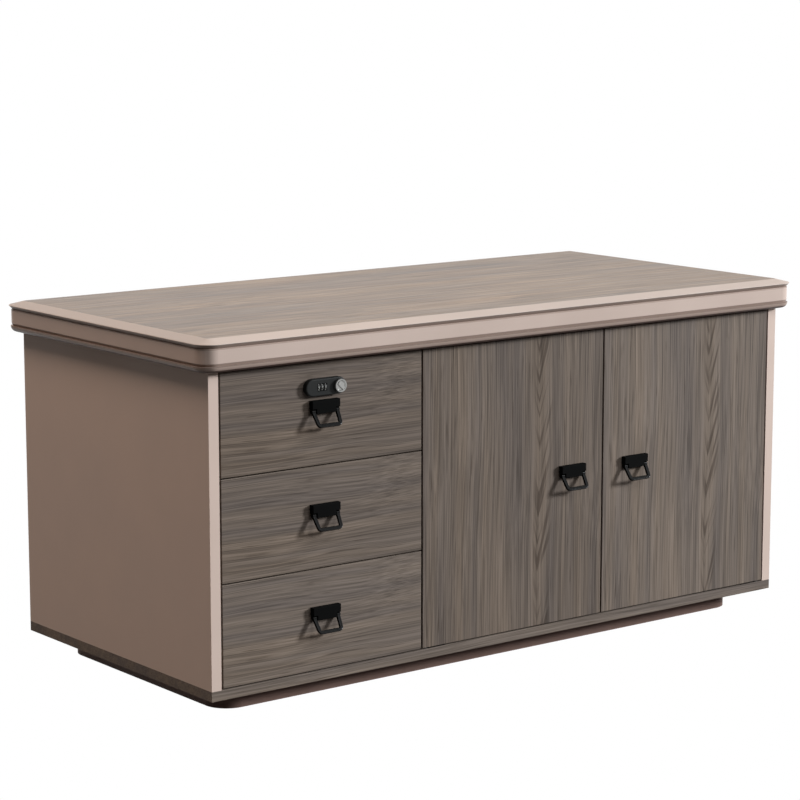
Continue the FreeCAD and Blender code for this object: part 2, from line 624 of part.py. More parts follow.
def make_knob():
    """Turned knob with a dished face and a raised grip rib, and a shaft that carries the cam."""
    turned = new_body("knob_turned")
    rim, shaft = "knob_diameter / 2", "knob_shaft / 2"
    revolve(turned, new_sketch(turned, "XY_Plane", [
        ("0", "knob_dish - knob_height"), (f"{rim} - knob_rim - knob_dish", "knob_dish - knob_height"),
        (f"{rim} - knob_rim", "-knob_height"), (f"{rim} - knob_edge", "-knob_height"),
        (rim, "knob_edge - knob_height"), (rim, "-lock_play"), (shaft, "-lock_play"),
        (shaft, "lock_depth + front_thickness + lock_barrel_tail + cam_thickness"),
        ("0", "lock_depth + front_thickness + lock_barrel_tail + cam_thickness")]), "V_Axis")
    rib = box("knob_rib", "-knob_rib_length / 2", "-knob_height", "-knob_rib / 2",
              "knob_rib_length", "2 * knob_dish", "knob_rib")
    tilted = fuse("knob_whole", turned, rib)
    tilted.Placement = FreeCAD.Placement(
        FreeCAD.Vector(), FreeCAD.Rotation(FreeCAD.Vector(0, 1, 0), measure("knob_tilt")))
    keep(place(tilted, "lock_axis", "-half_depth - lock_depth", "lock_level"), "lock_knob")
    tongue = new_body("cam_tongue")
    half = "cam_width / 2"
    pad(tongue, new_sketch(tongue, "XZ_Plane", [
        ("0", f"-{half}", half, 1), (f"cam_length - {half}", f"-{half}"), ("cam_length", "0", half, 1),
        (f"cam_length - {half}", half, half, 1), ("0", half), (f"-{half}", "0", half, 1),
    ]), "cam_thickness", backwards=True)
    place(tongue, "lock_axis", "cam_front", "lock_level")
    eye = rod("cam_eye", "y", "lock_axis", "cam_front - overrun", "lock_level",
              "knob_shaft / 2", "cam_thickness + 2 * overrun")
    keep(cut("cam_plate", tongue, eye), "lock_cam")


# Drawers: front, two sides and a bottom in grooves, a back that stands on the bottom, and the slide channels
def drawer(row):
    level = row_level(row)
    side_foot = f"{level} + box_lift"
    groove = f"{side_foot} + groove_lift"
    front = front_board(f"{row}_front_board", "drawer_left", level, "front_height")
    slot_left = "box_left + box_board - groove_depth"
    slot_width = "box_right - box_left - 2 * box_board + 2 * groove_depth"
    slot = box(f"{row}_front_groove", slot_left, "fronts_back - groove_depth", groove,
               slot_width, "groove_depth + overrun", "bottom_thickness")
    cuts = [slot, barrel_hole, case_recess] if row == "top" else [slot]
    keep(cut(f"{row}_front_cut", front, *cuts), f"{row}_drawer_front")

    sides = new_body(f"{row}_box_boards")
    outlines = []
    for face, sign in (("box_left", "+"), ("box_right", "-")):
        inner = f"{face} {sign} box_board"
        deep = f"{face} {sign} (box_board - groove_depth)"
        outlines.append([(face, side_foot), (inner, side_foot), (inner, groove), (deep, groove),
                         (deep, f"{groove} + bottom_thickness"), (inner, f"{groove} + bottom_thickness"),
                         (inner, f"{side_foot} + box_height"), (face, f"{side_foot} + box_height")])
    pad(sides, new_sketch(sides, "XZ_Plane", *outlines), "box_length", backwards=True)
    keep(place(sides, "0", "fronts_back", "0"), f"{row}_drawer_sides")

    keep(box(f"{row}_bottom_board", slot_left, "fronts_back - groove_depth", groove,
             slot_width, "box_length + groove_depth", "bottom_thickness"), f"{row}_drawer_bottom")
    keep(box(f"{row}_back_board", "box_left + box_board", "fronts_back + box_length - box_board",
             f"{groove} + bottom_thickness", "box_right - box_left - 2 * box_board", "box_board",
             "box_height - groove_lift - bottom_thickness - box_back_drop"), f"{row}_drawer_back")
    keep(channels(f"{row}_inner_channels", "inner", [row]), f"{row}_drawer_slide_rails")
    keep(channels(f"{row}_middle_channels", "middle", [row]), f"{row}_drawer_carrier_rails")
    handle(f"{row}_drawer", "handle_middle", f"{level} + front_height - handle_drop")


for row in ROWS:
    drawer(row)
make_lock()
make_wheels()
make_knob()


# Doors: each turns on pins at two of its corners, and has a strike for its catch at the free edge
def door(side, left, pivot, turn):
    leaf_levels = {"low": "front_level", "high": "front_level + door_height - leaf_thickness"}
    board = front_board(f"{side}_door_board", left, "front_level", "door_height")
    recesses = [leaf_box(f"{side}_door_recess_{end}", pivot, turn, level)
                for end, level in leaf_levels.items()]
    pin_room = [rod(f"{side}_pin_room_{end}", "z", pivot, "pivot_y", level,
                    "pivot_pin / 2 + pivot_play", "pivot_reach + overrun")
                for end, level in (("low", "front_level"),
                                   ("high", "front_level + door_height - pivot_reach - overrun"))]
    keep(cut(f"{side}_door_cut", board, *recesses, *pin_room), f"{side}_door_panel")
    leaves = [cut(f"{side}_door_leaf_{end}", leaf_box(f"{side}_leaf_plate_{end}", pivot, turn, level),
                  rod(f"{side}_leaf_bore_{end}", "z", pivot, "pivot_y", f"{level} - overrun",
                      "pivot_pin / 2 + pivot_play", "leaf_thickness + 2 * overrun"))
              for end, level in leaf_levels.items()]
    keep(group(f"{side}_door_leaf_set", *leaves), f"{side}_door_leaves")
    free_edge = f"{left} + front_width" if turn > 0 else left
    inwards = "-" if turn > 0 else "+"
    handle(f"{side}_door", f"{free_edge} {inwards} handle_edge",
           f"{row_level('middle')} + front_height - handle_drop")
    keep(box(f"{side}_strike_plate", f"{free_edge} {inwards} catch_edge - strike_length / 2", "fronts_back",
             "front_level + door_height - strike_drop - strike_height",
             "strike_length", "strike_thickness", "strike_height"), f"{side}_door_strike")


for side, (left, pivot, turn) in DOORS.items():
    door(side, left, pivot, turn)

# Carcass leaves with their pins: the lower pins have a shoulder that carries the door
carcass_leaves = []
for side, (_, pivot, turn) in DOORS.items():
    carcass_leaves.append(fuse(
        f"{side}_lower_pivot",
        leaf_box(f"{side}_lower_plate", pivot, turn, "floor_level - leaf_thickness"),
        rod(f"{side}_lower_shoulder", "z", pivot, "pivot_y", "floor_level - leaf_thickness",
            "pivot_shoulder / 2", "leaf_thickness + row_gap - pivot_play"),
        rod(f"{side}_lower_pin", "z", pivot, "pivot_y", "floor_level - leaf_thickness",
            "pivot_pin / 2", "leaf_thickness + row_gap + pivot_reach")))
    carcass_leaves.append(fuse(
        f"{side}_upper_pivot",
        leaf_box(f"{side}_upper_plate", pivot, turn, "rail_level"),
        rod(f"{side}_upper_pin", "z", pivot, "pivot_y", "rail_level - top_gap - pivot_reach",
            "pivot_pin / 2", "leaf_thickness + top_gap + pivot_reach")))
keep(group("carcass_leaf_set", *carcass_leaves), "door_pivot_leaves")

# Magnetic catches under the front rail, behind the doors' free edges, each with a slot between its two poles
catches = []
for side, (left, _, turn) in DOORS.items():
    middle = f"{left} + front_width - catch_edge" if turn > 0 else f"{left} + catch_edge"
    case = box(f"{side}_catch_case", f"{middle} - catch_length / 2",
               "fronts_back + strike_thickness + strike_gap", "rail_level - catch_height",
               "catch_length", "catch_depth", "catch_height")
    slot = box(f"{side}_catch_slot", f"{middle} - catch_length / 2 - overrun",
               "fronts_back + strike_thickness + strike_gap - overrun",
               "rail_level - catch_height / 2 - catch_slot / 2",
               "catch_length + 2 * overrun", "catch_slot + overrun", "catch_slot")
    catches.append(cut(f"{side}_catch", case, slot))
keep(group("catch_set", *catches), "door_catches")

# Every feature has to be sound before a file is written
doc.recompute()
for item in doc.Objects:
    if "Invalid" in item.State or "Error" in item.State:
        raise RuntimeError(f"{item.Label} failed: {item.State}")
os.makedirs("parts", exist_ok=True)
for item in pieces:
    if item.Shape.isNull() or not item.Shape.isValid():
        raise RuntimeError(f"{item.Label} has no sound shape")
    item.Shape.exportStep(f"parts/{item.Label}.step")
print(len(pieces), "sub-parts written")
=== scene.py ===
import math

import bmesh
import bpy
from mathutils import Euler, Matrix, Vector


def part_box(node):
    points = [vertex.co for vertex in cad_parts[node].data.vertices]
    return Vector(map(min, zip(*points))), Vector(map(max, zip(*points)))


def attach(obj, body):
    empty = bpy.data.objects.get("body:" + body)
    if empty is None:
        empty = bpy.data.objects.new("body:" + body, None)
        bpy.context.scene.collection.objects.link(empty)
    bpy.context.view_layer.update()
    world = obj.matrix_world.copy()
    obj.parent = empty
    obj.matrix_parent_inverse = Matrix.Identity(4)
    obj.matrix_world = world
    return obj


# Low office cabinet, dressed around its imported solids. Metres, +Z up, front towards -Y.
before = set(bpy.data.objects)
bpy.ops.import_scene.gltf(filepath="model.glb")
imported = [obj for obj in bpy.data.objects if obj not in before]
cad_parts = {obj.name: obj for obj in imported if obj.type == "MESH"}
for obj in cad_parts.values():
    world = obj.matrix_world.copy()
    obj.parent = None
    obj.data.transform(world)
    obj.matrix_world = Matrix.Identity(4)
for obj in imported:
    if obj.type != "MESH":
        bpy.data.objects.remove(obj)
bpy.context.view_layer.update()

# Plinth: a recessed skirt of board with bent corners, faced in dark brown laminate.
# It stands on the floor and carries the base panel, which hides its top edge.
mm = 0.001
CLOUD, CLOUD_SHEEN = (6.0, 6.0, 6.0), 0.05  # waves per metre, and how far the roughness wanders
TONE_LOW, TONE_HIGH = 0.35, 0.65  # the part of a noise that a print's two tones span
SHEEN_LOW, SHEEN_HIGH = 0.3, 0.7  # the part of a noise that a wandering sheen spans


def add(tree, kind, inputs=(), settings=(), **named):
    """A node with its settings, whose inputs, by number or name, each take a value or a link."""
    node = tree.nodes.new(kind)
    for setting, value in dict(settings).items():
        setattr(node, setting, value)
    for socket, value in {**dict(inputs), **named}.items():
        if isinstance(value, bpy.types.NodeSocket):
            tree.links.new(value, node.inputs[socket])
        else:
            node.inputs[socket].default_value = value
    return node


def new_finish(name, roughness, specular=0.5, metallic=0.0):
    """A material with one shader; values that are even all over are set on the shader itself."""
    finish = bpy.data.materials.new(name)
    finish.use_nodes = True
    shader = finish.node_tree.nodes["Principled BSDF"]
    shader.inputs["Roughness"].default_value = roughness
    shader.inputs["Specular IOR Level"].default_value = specular
    shader.inputs["Metallic"].default_value = metallic
    add(finish.node_tree, "ShaderNodeTexCoord", settings={"name": "Place"})
    return finish, finish.node_tree, shader


def srgb(red, green, blue):
    """A colour as read on screen, 0 to 255, as the linear colour that a shader takes."""
    def linear(value):
        share = value / 255
        return share / 12.92 if share <= 0.04045 else ((share + 0.055) / 1.055) ** 2.4
    return (linear(red), linear(green), linear(blue), 1)


def noise(tree, scale, middle=(0, 0, 0), detail=2.0, source=None, output="Fac"):
    """Noise in the object's own coordinates, with a scale per metre along each axis and its zero at middle."""
    place = add(tree, "ShaderNodeMapping", Vector=source or tree.nodes["Place"].outputs["Object"],
                Location=[-s * m for s, m in zip(scale, middle)], Scale=scale)
    grain = add(tree, "ShaderNodeTexNoise", Vector=place.outputs["Vector"], Scale=1.0, Detail=detail)
    return grain.outputs[output]


def ramp(tree, source, *stops):
    """A colour ramp through (position, colour) stops."""
    node = add(tree, "ShaderNodeValToRGB", Fac=source)
    band = node.color_ramp
    band.elements.remove(band.elements[1])
    for index, (position, colour) in enumerate(stops):
        element = band.elements[0] if index == 0 else band.elements.new(position)
        element.position = position
        element.color = colour
    return node.outputs["Color"]


def span(tree, source, given, wanted):
    """A value carried over from one pair of ends to another."""
    ends = zip(("From Min", "From Max", "To Min", "To Max"), (*given, *wanted))
    return add(tree, "ShaderNodeMapRange", {"Value": source, **dict(ends)}).outputs["Result"]


def bump(tree, shader, height, distance, strength=1.0):
    """Let a height in metres turn the light on a finish."""
    node = add(tree, "ShaderNodeBump", Height=height, Strength=strength, Distance=distance)
    tree.links.new(node.outputs["Normal"], shader.inputs["Normal"])


def vary_roughness(tree, shader, source, spread):
    """Let the roughness wander to both sides of the value set on the shader."""
    middle = shader.inputs["Roughness"].default_value
    wander = span(tree, source, (SHEEN_LOW, SHEEN_HIGH), (middle - spread, middle + spread))
    tree.links.new(wander, shader.inputs["Roughness"])


def laminate(name, dark, light, roughness, grain=900.0, depth=0.03 * mm, specular=0.5):
    """A printed board face: a faint cloudy tone, a fine pressed texture and a sheen that wanders a little."""
    finish, tree, shader = new_finish(name, roughness, specular)
    cloud = noise(tree, CLOUD, detail=3.0)
    vary_roughness(tree, shader, cloud, CLOUD_SHEEN)
    tree.links.new(ramp(tree, cloud, (TONE_LOW, dark), (TONE_HIGH, light)), shader.inputs["Base Color"])
    bump(tree, shader, noise(tree, (grain, grain, grain)), depth)
    return finish


def dress(finish, *names):
    """Give CAD nodes a finish."""
    for name in names:
        for material_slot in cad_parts[name].material_slots:
            material_slot.material = finish


plinth_laminate = laminate("plinth_laminate", srgb(117, 95, 87), srgb(127, 104, 96), roughness=0.55, specular=0.06)
dress(plinth_laminate, "plinth_front", "plinth_back", "plinth_ends")

# Base panel: a 16 mm board of the same wood decor as the fronts, its grain running along the cabinet.
# The decor is a print of grey-brown oak: fine fibres, broad warm and cool bands, short dark pores and, on some
# boards, a flame figure.
FIBRE, BAND, TONE = (640.0, 5.0), (140.0, 2.2), (32.0, 1.0)  # waves per metre across and along the grain
PORE, DRIFT = (380.0, 13.0), (7.0, 2.2)
SWAY, BAND_SHARE, PORE_SHARE = 24 * mm, 0.45, 0.8
PORE_DEPTH, PORE_BITE, BAND_SHEEN = 0.05 * mm, 0.6, 0.06
FLAME, FLAME_RISE, FLAME_CORE, FLAME_EDGE = (30.0, 1.0, 46.0), 3.2, 9 * mm, 21 * mm
WHITE = (1, 1, 1, 1)
# Painted light: the base's print is lifted most, as the lower boards are painted lighter.
BASE_PAINTED_LIGHT = 24


def maths(tree, operation, *values):
    """One step of arithmetic on sockets or numbers."""
    return add(tree, "ShaderNodeMath", enumerate(values), {"operation": operation}).outputs[0]


def multiplied(tree, colour, by, share=1.0):
    """A colour multiplied by another, in full or by a share."""
    node = add(tree, "ShaderNodeMix", {0: share, 6: colour, 7: by}, {"data_type": "RGBA", "blend_type": "MULTIPLY"})
    return node.outputs[2]


def flamed(tree, colour, wavy, middle, spine):
    """A colour with dark strokes that lean steeply away from an upright line at x = spine."""
    spot = add(tree, "ShaderNodeSeparateXYZ", Vector=wavy).outputs
    aside = maths(tree, "SUBTRACT", spot["X"], spine)
    fall = maths(tree, "MULTIPLY", maths(tree, "ABSOLUTE", aside), FLAME_RISE)
    leaning = add(tree, "ShaderNodeCombineXYZ", X=aside, Z=maths(tree, "SUBTRACT", spot["Z"], fall))
    ripple = noise(tree, FLAME, middle, detail=1.0, source=leaning.outputs["Vector"])
    strokes = ramp(tree, ripple, (0.47, WHITE), (0.62, srgb(184, 179, 176)))
    apart = maths(tree, "ABSOLUTE", maths(tree, "SUBTRACT", aside, FLAME_CORE))
    return multiplied(tree, colour, strokes, span(tree, apart, (FLAME_CORE, FLAME_EDGE), (1.0, 0.0)))


def wood_decor(name, grain_axis, middle, dark, light, roughness=0.5, specular=0.12, pitch=1.0, flame=None):
    """Wood print whose fibres follow one axis, pitch times as fine, and whose figure is centred on one board.

    An upright board may have a flame figure, at the distance flame from its middle.
    """
    finish, tree, shader = new_finish(name, roughness, specular)

    def stretched(waves):
        across, along = waves
        return [along if axis == grain_axis else pitch * across for axis in "XYZ"]
    sway = noise(tree, stretched(DRIFT), middle, detail=1.0, output="Color")
    shift = add(tree, "ShaderNodeVectorMath", {0: sway, "Scale": SWAY}, {"operation": "SCALE"})
    own = tree.nodes["Place"].outputs["Object"]
    wavy = add(tree, "ShaderNodeVectorMath", {0: own, 1: shift.outputs["Vector"]}).outputs["Vector"]
    fibre = noise(tree, stretched(FIBRE), middle, detail=4.0, source=wavy)
    band = noise(tree, stretched(BAND), middle, detail=3.0, source=wavy)
    tone = noise(tree, stretched(TONE), middle, source=wavy)
    pore = noise(tree, stretched(PORE), middle, source=wavy)
    grain = maths(tree, "MULTIPLY_ADD", band, BAND_SHARE, fibre)
    streaks = ramp(tree, grain, (0.44, dark), (1.0, light))
    tint = ramp(tree, tone, (0.36, srgb(224, 224, 227)), (0.5, srgb(242, 240, 238)), (0.64, srgb(255, 250, 243)))
    dashes = ramp(tree, pore, (0.25, srgb(180, 174, 168)), (0.37, WHITE))
    colour = multiplied(tree, multiplied(tree, streaks, tint), dashes, PORE_SHARE)
    if flame is not None:
        colour = flamed(tree, colour, wavy, middle, middle[0] + flame + SWAY / 2)
    tree.links.new(colour, shader.inputs["Base Color"])
    vary_roughness(tree, shader, band, BAND_SHEEN)
    bump(tree, shader, pore, PORE_DEPTH, PORE_BITE)
    return finish


def middle_of(name):
    """The middle of a CAD node's box."""
    low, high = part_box(name)
    return [(a + b) / 2 for a, b in zip(low, high)]


def front_tones(lift):
    """The print's darkest and lightest tone on one board, lifted as painted light: lower boards and the right door
    are lighter.
    """
    return srgb(63 + lift, 55 + lift, 49 + lift), srgb(122 + lift, 110 + lift, 101 + lift)


base_wood = wood_decor("base_wood", "X", middle_of("base_panel"), *front_tones(BASE_PAINTED_LIGHT), specular=0.04)
dress(base_wood, "base_panel")

# Side panels: 18 mm board in a champagne laminate, bare of grain, standing on the base.
# Their front edges are banded in the same colour and frame the drawers and doors.
champagne_board = laminate("champagne_board", srgb(201, 181, 170), srgb(207, 187, 176), roughness=0.5,
                           specular=0.15)
dress(champagne_board, "left_side_panel", "right_side_panel")

# Inner boards: divider, shelf, rails and drawer boxes in plain warm grey melamine.
# The back is a thinner sheet of the same, screwed on from behind.
melamine = laminate("inner_melamine", srgb(166, 156, 147), srgb(174, 164, 155), roughness=0.5, grain=1400.0)
dress(melamine, "divider_panel", "shelf", "front_top_rail", "back_top_rail", "back_panel")

# Top panel: 25 mm board in the wood decor, its grain along the cabinet and its face sealed to a soft shine.
# The trim is fitted round its edges, so only its face shows.
# Its tones are painted much lighter than the fronts' as painted light falling on the top from above.
top_wood = wood_decor("top_wood", "X", middle_of("top_panel"), srgb(43, 34, 28), srgb(176, 157, 140),
                      roughness=0.4, specular=0.25, pitch=0.6)
dress(top_wood, "top_panel")

# Trim: lengths of moulded board wrapped in champagne foil, mitred at the corners and fixed round the top.
# Light and shade are painted on the foil: the sloping brow is left paler and cooler than the rest as a painted
# reflection, the throat under it, the bead at the foot and the bead's flat top are painted darker as painted shade,
# and the bead's underside is painted brown as painted shade. Each change of tone starts at a height above the
# trim's foot.
# Heights above the trim's foot at which the painted light and shade change; below the lowest, the underside is
# painted brown as painted shade.
UNDERSIDE_SHADE_TOP, BEAD_TOP, FASCIA_FOOT, FASCIA_HEAD, BROW_FOOT = (rise * mm for rise in (4.2, 10.0, 14.5, 35.4, 43.0))
BLEND, FLAT_MARGIN = 0.8 * mm, 0.1 * mm
# Multipliers of painted shade for the bead's underside, the bead, its flat top and the throat; the fascia's
# multiplier gives back the foil's own warmth.
PAINTED_UNDERSIDE_SHADE, PAINTED_BEAD_SHADE, PAINTED_BEAD_FLAT_SHADE = srgb(98, 79, 74), srgb(214, 203, 198), srgb(173, 164, 160)
FASCIA, PAINTED_THROAT_SHADE = srgb(255, 247, 244), srgb(217, 206, 201)


def shade_upwards(finish, foot, head, changes):
    """Multiply a finish by painted light and shade tones that follow each other from foot to head."""
    tree = finish.node_tree
    base_colour = tree.nodes["Principled BSDF"].inputs["Base Color"]
    spot = add(tree, "ShaderNodeSeparateXYZ", Vector=tree.nodes["Place"].outputs["Object"])
    level = span(tree, spot.outputs["Z"], (foot, head), (0.0, 1.0))
    stops = [(height / (head - foot), tone) for rise, below, above in changes
             for height, tone in ((rise, below), (rise + BLEND, above))]
    shaded = multiplied(tree, base_colour.links[0].from_socket, ramp(tree, level, *stops))
    tree.links.new(shaded, base_colour)


# The trim's tones are set cool, so the brow, which keeps them, carries a painted reflection; the ramp warms the
# fascia back to the foil's own tone.
champagne_trim = laminate("champagne_trim", srgb(187, 174, 166), srgb(193, 180, 172), roughness=0.4, specular=0.15)
trim_foot, trim_head = (corner[2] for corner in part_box("top_trim_front"))
shade_upwards(champagne_trim, trim_foot, trim_head, (
    (UNDERSIDE_SHADE_TOP, PAINTED_UNDERSIDE_SHADE, PAINTED_BEAD_SHADE), (BEAD_TOP - BLEND, PAINTED_BEAD_SHADE, PAINTED_BEAD_FLAT_SHADE), (BEAD_TOP + FLAT_MARGIN, PAINTED_BEAD_FLAT_SHADE, PAINTED_BEAD_SHADE),
    (FASCIA_FOOT, PAINTED_BEAD_SHADE, FASCIA), (FASCIA_HEAD, FASCIA, PAINTED_THROAT_SHADE), (BROW_FOOT, PAINTED_THROAT_SHADE, WHITE)))
dress(champagne_trim, "top_trim_front", "top_trim_back", "top_trim_left", "top_trim_right")

# Drawers: fronts in wood decor with the grain across, all three cut to show the same figure.
# The boxes behind them are melamine boards with a thin bottom let into grooves.
ROWS = ("bottom", "middle", "top")
# Painted light: the lower fronts are painted lighter.
ROW_PAINTED_LIGHT = (16, 10, 5)
for row, lift in zip(ROWS, ROW_PAINTED_LIGHT):
    front = f"{row}_drawer_front"
    dress(wood_decor(f"{front}_wood", "X", middle_of(front), *front_tones(lift)), front)
    dress(melamine, f"{row}_drawer_sides", f"{row}_drawer_back", f"{row}_drawer_bottom")

# Doors: wood decor with the grain upright, both cut to show the same flame figure.
# Each turns on concealed pivots at its outer corners.
SIDES = ("left", "right")
# Painted light: the right door is painted lighter than the left, towards the key lamp.
SIDE_PAINTED_LIGHT = (7, 15)
FLAME_ASIDE = 52 * mm
for side, lift in zip(SIDES, SIDE_PAINTED_LIGHT):
    panel = f"{side}_door_panel"
    panel_wood = wood_decor(f"{panel}_wood", "Z", middle_of(panel), *front_tones(lift), pitch=0.74,
                            flame=FLAME_ASIDE)
    dress(panel_wood, panel)

# Slides, pivots, catches and shelf pins: pressed zinc-plated steel, and brown plastic for the catches' cases.
# They are screwed to the boards and show only when something is open.
DRAWN_DEPTH = 0.01 * mm


def metal(name, dark, light, roughness, grain_scale):
    """Plated metal with a fine drawn texture."""
    finish, tree, shader = new_finish(name, roughness, metallic=1.0)
    drawn = noise(tree, grain_scale, detail=3.0)
    tree.links.new(ramp(tree, drawn, (TONE_LOW, dark), (TONE_HIGH, light)), shader.inputs["Base Color"])
    bump(tree, shader, drawn, DRAWN_DEPTH)
    return finish


zinc = metal("zinc_steel", srgb(168, 170, 173), srgb(196, 198, 200), 0.34, (900.0, 30.0, 900.0))
dark_zinc = metal("dark_zinc", srgb(58, 57, 56), srgb(70, 69, 68), 0.45, (700.0, 700.0, 700.0))
dress(zinc, "slide_outer_rails", "shelf_pins", "lock_cam")
dress(dark_zinc, "door_pivot_leaves")
for row in ROWS:
    dress(zinc, f"{row}_drawer_slide_rails", f"{row}_drawer_carrier_rails")
for side in SIDES:
    dress(dark_zinc, f"{side}_door_leaves")
    dress(zinc, f"{side}_door_strike")
dress(laminate("catch_plastic", srgb(92, 70, 56), srgb(98, 76, 61), roughness=0.45), "door_catches")

# Handles: a cast block, powder-coated matt black, screwed on from behind through the front.
# A bail of thicker section, plated in black nickel, hangs on a pin through the block.
powder_black = laminate("powder_black", srgb(8, 8, 8), srgb(12, 12, 12), roughness=0.7, grain=2600.0,
                        depth=0.04 * mm, specular=0.02)
black_nickel = metal("black_nickel", srgb(25, 25, 25), srgb(32, 32, 32), 0.22, (700.0, 700.0, 700.0))
HANDLES = tuple(f"{row}_drawer" for row in ROWS) + tuple(f"{side}_door" for side in SIDES)
for owner in HANDLES:
    dress(powder_black, f"{owner}_handle_block")
    dress(black_nickel, f"{owner}_bail")

# Lock: a moulded black body let into the top drawer's front, above the handle, with three windows for its wheels.
# A plated knob turns the cam behind the front.
lock_plastic = laminate("lock_plastic", srgb(21, 22, 22), srgb(26, 27, 27), roughness=0.5, grain=2200.0,
                        specular=0.12)
knob_chrome = metal("knob_chrome", srgb(132, 132, 130), srgb(152, 152, 150), 0.34, (1200.0, 1200.0, 1200.0))
dress(lock_plastic, "lock_body")
dress(knob_chrome, "lock_knob")

# Number wheels: black plastic rings that turn one by one in the lock's windows.
# The figures 0 to 9 are painted round each rim, here as thin strips that follow its curve.
WHEELS = ("lock_wheel_1", "lock_wheel_2", "lock_wheel_3")
FIGURES = 10
FIGURE_SIZE, FIGURE_STRIP, FIGURE_LIFT = 4.9 * mm, 0.35 * mm, 0.03 * mm
STRIPS_EACH_WAY = 6
dial_plastic = laminate("dial_plastic", srgb(14, 14, 14), srgb(18, 18, 18), roughness=0.4, grain=2200.0,
                        specular=0.12)
figure_paint = laminate("figure_paint", srgb(160, 160, 156), srgb(176, 176, 172), roughness=0.5, grain=2600.0)
dress(dial_plastic, *WHEELS)


def plain_mesh(item):
    """The mesh that an object gives once its modifiers or letters are worked out."""
    return bpy.data.meshes.new_from_object(item.evaluated_get(bpy.context.evaluated_depsgraph_get()))


def show(name, data):
    """An object at the origin."""
    item = bpy.data.objects.new(name, data)
    bpy.context.scene.collection.objects.link(item)
    return item


def wheel_figures(wheel):
    """The figures, cut into strips and wrapped round a wheel."""
    axis = middle_of(wheel)
    low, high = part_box(wheel)
    radius = (high[2] - low[2]) / 2
    reach = radius + FIGURE_LIFT
    whole = bmesh.new()
    for value in range(FIGURES):
        letters = bpy.data.curves.new(f"figure_{value}", "FONT")
        letters.body, letters.size = str(value), FIGURE_SIZE
        letters.align_x, letters.align_y = "CENTER", "CENTER"
        holder = show("figure", letters)
        flat = plain_mesh(holder)
        bpy.data.objects.remove(holder)
        figure = bmesh.new()
        figure.from_mesh(flat)
        for step in range(-STRIPS_EACH_WAY, STRIPS_EACH_WAY + 1):
            bmesh.ops.bisect_plane(figure, geom=figure.verts[:] + figure.edges[:] + figure.faces[:],
                                   plane_co=(0, step * FIGURE_STRIP, 0), plane_no=(0, 1, 0))
        for point in figure.verts:
            turn = point.co.y / radius + math.tau * value / FIGURES
            point.co = (axis[0] + point.co.x, axis[1] - reach * math.cos(turn), axis[2] + reach * math.sin(turn))
        figure.to_mesh(flat)
        whole.from_mesh(flat)
    mesh = bpy.data.meshes.new(f"{wheel}_figures")
    whole.to_mesh(mesh)
    mesh.materials.append(figure_paint)
    piece = show(f"{wheel}_figures", mesh)
    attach(piece, wheel)


for wheel in WHEELS:
    wheel_figures(wheel)

# Lock nut and cam bolt: zinc-plated steel hexagons with their corners turned down.
# The nut draws the lock's body against the front from inside, and the bolt holds the cam on the knob's spindle.
THREAD_PROUD = 0.6 * mm  # how far the lock's thread stands out of its nut


def join(form, start, end):
    """A band of faces between two rings with as many points."""
    count = len(start)
    for step in range(count):
        form.faces.new([start[step], start[(step + 1) % count], end[(step + 1) % count], end[step]])


def fill_between(form, outer, inner):
    """Faces in one plane between two rings."""
    edges = [form.edges.get((loop[step], loop[(step + 1) % len(loop)]))
             for loop in (outer, inner) for step in range(len(loop))]
    bmesh.ops.triangle_fill(form, use_beauty=True, edges=edges)


def outward_mesh(name, form):
    """The form as a mesh whose faces point outwards."""
    bmesh.ops.recalc_face_normals(form, faces=form.faces[:])
    mesh = bpy.data.meshes.new(name)
    form.to_mesh(mesh)
    return mesh


def hexagon(name, middle, front, back, across, bore, body):
    """A six-sided nut, or a bolt's head where bore is 0, along Y from front to back."""
    form = bmesh.new()
    corner = across / math.sqrt(3)
    sides, bore_sides = 6, 24
    turned_corner, turned_depth = 0.93 * corner, 0.12 * (back - front)

    def ring(radius, y, points):
        turns = [math.tau * step / points for step in range(points)]
        return [form.verts.new((middle[0] + radius * math.cos(turn), y, middle[1] + radius * math.sin(turn)))
                for turn in turns]
    foot, shoulder, head = (ring(corner, front, sides), ring(corner, back - turned_depth, sides),
                            ring(turned_corner, back, sides))
    if bore:
        bore_head, bore_foot = ring(bore, back, bore_sides), ring(bore, front, bore_sides)
    join(form, foot, shoulder)
    join(form, shoulder, head)
    if bore:
        join(form, bore_head, bore_foot)
        fill_between(form, head, bore_head)
        fill_between(form, foot, bore_foot)
    else:
        form.faces.new(head)
        form.faces.new(foot[::-1])
    mesh = outward_mesh(name, form)
    mesh.materials.append(zinc)
    piece = show(name, mesh)
    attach(piece, body)


knob_x, _, knob_z = middle_of("lock_knob")
nut_front, thread_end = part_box("top_drawer_front")[1][1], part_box("lock_body")[1][1]
cam_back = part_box("lock_cam")[1][1]
hexagon("lock_nut", (knob_x, knob_z), nut_front, thread_end - THREAD_PROUD, across=24 * mm, bore=9 * mm,
        body="top_drawer")
hexagon("cam_bolt", (knob_x, knob_z), cam_back, cam_back + 3.5 * mm, across=10 * mm, bore=0, body="lock_spindle")

